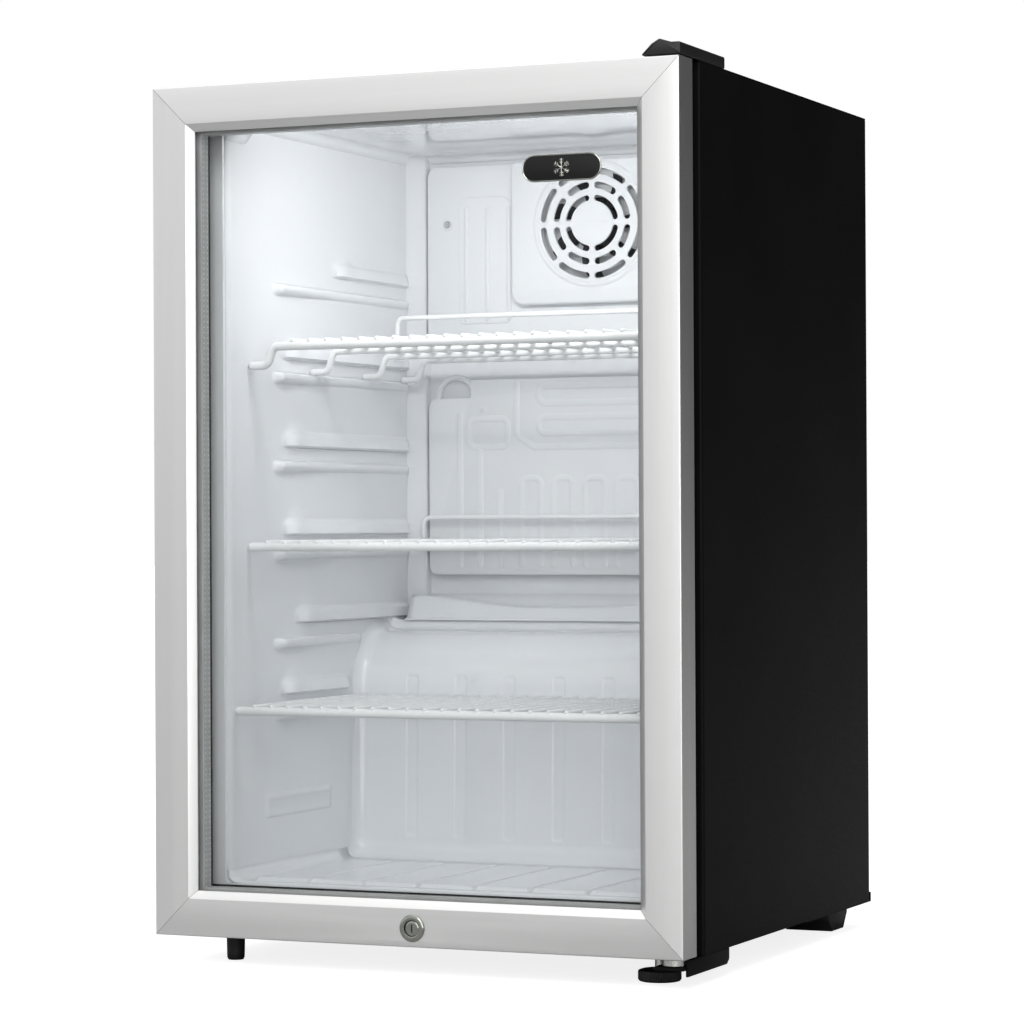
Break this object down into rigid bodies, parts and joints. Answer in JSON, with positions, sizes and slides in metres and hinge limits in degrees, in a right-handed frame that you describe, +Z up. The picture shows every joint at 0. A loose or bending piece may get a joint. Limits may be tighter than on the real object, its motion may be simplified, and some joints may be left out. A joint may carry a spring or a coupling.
{
  "type": "glass door refrigerator",
  "caption": "Compact upright refrigerator with a hinged glass door, sliding wire shelves, a fan-cooled white liner and a rear compressor bay.",
  "frame": {"origin": "on the floor under the centre of the whole machine's bounding box", "axes": "+X to the hinge side, +Y from the door towards the back, +Z up"},
  "size_m": [0.445, 0.459, 0.7037],
  "materials": {
    "black_steel": "semi-gloss black paint",
    "galvanised_steel": "bare galvanised sheet",
    "foam": "rigid cream foam, hidden",
    "white_liner": "vacuum-formed gloss white",
    "white_coated_metal": "white coated sheet",
    "white_coated_wire": "white dipped wire",
    "door_aluminium": "satin anodised, silver",
    "spacer_aluminium": "dull perforated strip",
    "black_plastic": "fine textured black",
    "gloss_black_plastic": "gloss black with a bright rim",
    "milky_plastic": "milky diffusing",
    "black_rubber": "matte black",
    "glass": "clear float glass",
    "chrome": "polished",
    "zinc": "bright zinc plate",
    "copper": "drawn copper tube"
  },
  "bodies": {
    "cabinet": {"left_side_panel": "black_steel", "right_side_panel": "black_steel", "top_panel": "black_steel", "bottom_panel": "black_steel", "back_panel": "galvanised_steel", "compartment_panel": "galvanised_steel", "insulation_foam": "foam", "inner_liner": "white_liner", "evaporator_plate": "white_coated_metal", "suction_line": "white_coated_metal", "fan_cover": "white_liner", "fan_cover_screw": "zinc", "fan_motor": "black_plastic", "drip_trough": "white_liner", "drain_tube": "white_liner", "control_housing": "white_liner", "lamp_lens": "milky_plastic", "base_tray": "black_steel", "compressor": "black_steel", "relay_cover": "black_plastic", "evaporation_pan": "black_plastic", "filter_drier": "copper", "discharge_line": "copper", "return_line": "copper", "condenser": "black_steel", "condenser_bracket_left": "black_steel", "condenser_bracket_right": "black_steel", "cord_gland": "black_plastic", "rear_foot_left": "black_plastic", "rear_foot_right": "black_plastic", "front_leg_left": "black_plastic", "top_hinge_bracket": "black_steel", "top_hinge_pin": "zinc", "top_hinge_cover": "black_plastic", "bottom_hinge_bracket": "black_steel", "bottom_hinge_pin": "zinc", "bottom_hinge_washer": "zinc", "lock_strike": "zinc"},
    "door": {"door_rail_top": "door_aluminium", "door_rail_bottom": "door_aluminium", "door_stile_left": "door_aluminium", "door_stile_right": "door_aluminium", "door_inner_frame": "black_plastic", "outer_pane": "glass", "inner_pane": "glass", "pane_spacer": "spacer_aluminium", "glazing_seal": "black_rubber", "door_gasket": "black_rubber", "door_badge": "gloss_black_plastic", "lock_body": "chrome"},
    "lock": {"lock_barrel": "chrome", "lock_cam": "zinc"},
    "fan": {"fan_rotor": "black_plastic"},
    "knob": {"thermostat_knob": "white_liner"},
    "rocker": {"light_switch": "black_plastic"},
    "foot": {"levelling_foot": "black_plastic"},
    "shelf_top": {"top_shelf": "white_coated_wire"},
    "shelf_middle": {"middle_shelf": "white_coated_wire"},
    "shelf_bottom": {"bottom_shelf": "white_coated_wire"}
  },
  "joints": [
    {"name": "door_hinge", "type": "hinge", "parent": "cabinet", "child": "door", "pos_m": [0.2095, -0.2115, 0.35], "axis": [0, 0, 1], "range_deg": [0, 125]},
    {"name": "lock_turn", "type": "hinge", "parent": "door", "child": "lock", "pos_m": [0.0015, -0.228, 0.038], "axis": [0, -1, 0], "range_deg": [0, 90]},
    {"name": "fan_spin", "type": "hinge", "parent": "cabinet", "child": "fan", "pos_m": [-0.0057, 0.164, 0.6065], "axis": [0, -1, 0], "continuous": true},
    {"name": "thermostat_turn", "type": "hinge", "parent": "cabinet", "child": "knob", "pos_m": [0.1636, -0.08, 0.6175], "axis": [-1, 0, 0], "range_deg": [0, 270]},
    {"name": "light_rocker", "type": "hinge", "parent": "cabinet", "child": "rocker", "pos_m": [0.1655, -0.043, 0.6325], "axis": [0, 1, 0], "range_deg": [0, 14]},
    {"name": "foot_turn", "type": "hinge", "parent": "cabinet", "child": "foot", "pos_m": [0.181, -0.17, 0], "axis": [0, 0, 1], "range_deg": [-720, 720]},
    {"name": "top_shelf_slide", "type": "slide", "parent": "cabinet", "child": "shelf_top", "axis": [0, -1, 0], "range_m": [0, 0.045]},
    {"name": "middle_shelf_slide", "type": "slide", "parent": "cabinet", "child": "shelf_middle", "axis": [0, -1, 0], "range_m": [0, 0.045]},
    {"name": "bottom_shelf_slide", "type": "slide", "parent": "cabinet", "child": "shelf_bottom", "axis": [0, -1, 0], "range_m": [0, 0.022]}
  ]
}
